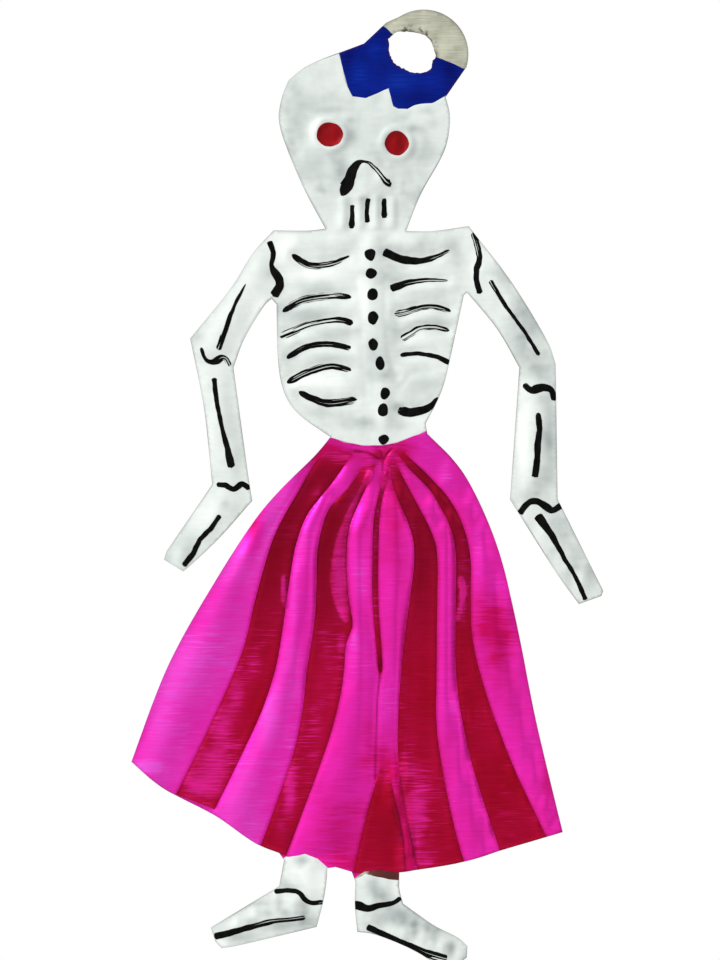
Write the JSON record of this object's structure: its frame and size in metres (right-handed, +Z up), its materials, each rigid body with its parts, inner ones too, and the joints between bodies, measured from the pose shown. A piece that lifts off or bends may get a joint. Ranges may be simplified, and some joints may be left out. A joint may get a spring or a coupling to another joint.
{
  "type": "catrina figure",
  "caption": "Flat hanging catrina ornament: an embossed, cut-out tin sheet with a round hanging eye, painted as a skeleton in a pleated skirt and hat.",
  "frame": {"origin": "middle of the hanging eye, on the flat back of the sheet", "axes": "+Z up the figure, +X to the right of a viewer facing the painted side, the painted side looks along -Y"},
  "size_m": [0.0754, 0.0015, 0.1524],
  "materials": {
    "bare_tin": "soft brushed tinplate",
    "white_enamel": "thin hand-brushed enamel, slightly grey where thin",
    "magenta_lacquer": "translucent lacquer over brushed metal",
    "crimson_lacquer": "translucent lacquer, second coat",
    "blue_lacquer": "translucent lacquer",
    "red_enamel": "gloss enamel",
    "black_paint": "hand-brushed black line"
  },
  "bodies": {
    "root": {"tin_sheet": "bare_tin", "white_enamel_upper": "white_enamel", "white_enamel_left_leg": "white_enamel", "white_enamel_right_leg": "white_enamel", "magenta_lacquer_skirt": "magenta_lacquer", "blue_lacquer_hat": "blue_lacquer", "red_eye_left": "red_enamel", "red_eye_right": "red_enamel", "red_pleat_outer_left": "crimson_lacquer", "red_pleat_inner_left": "crimson_lacquer", "red_pleat_centre_top": "crimson_lacquer", "red_pleat_centre_hem": "crimson_lacquer", "red_pleat_inner_right": "crimson_lacquer", "red_pleat_outer_right": "crimson_lacquer", "nose_stroke": "black_paint", "teeth_strokes": "black_paint", "spine_dots": "black_paint", "collarbone_left": "black_paint", "collarbone_right": "black_paint", "rib_strokes_left": "black_paint", "rib_strokes_right": "black_paint", "shoulder_left": "black_paint", "shoulder_right": "black_paint", "upper_arm_left": "black_paint", "upper_arm_right": "black_paint", "elbow_left": "black_paint", "elbow_right": "black_paint", "forearm_left": "black_paint", "forearm_right": "black_paint", "wrist_left": "black_paint", "wrist_right": "black_paint", "hand_left": "black_paint", "hand_right": "black_paint", "ankle_left": "black_paint", "ankle_right": "black_paint", "foot_left": "black_paint", "foot_right": "black_paint"}
  },
  "joints": []
}
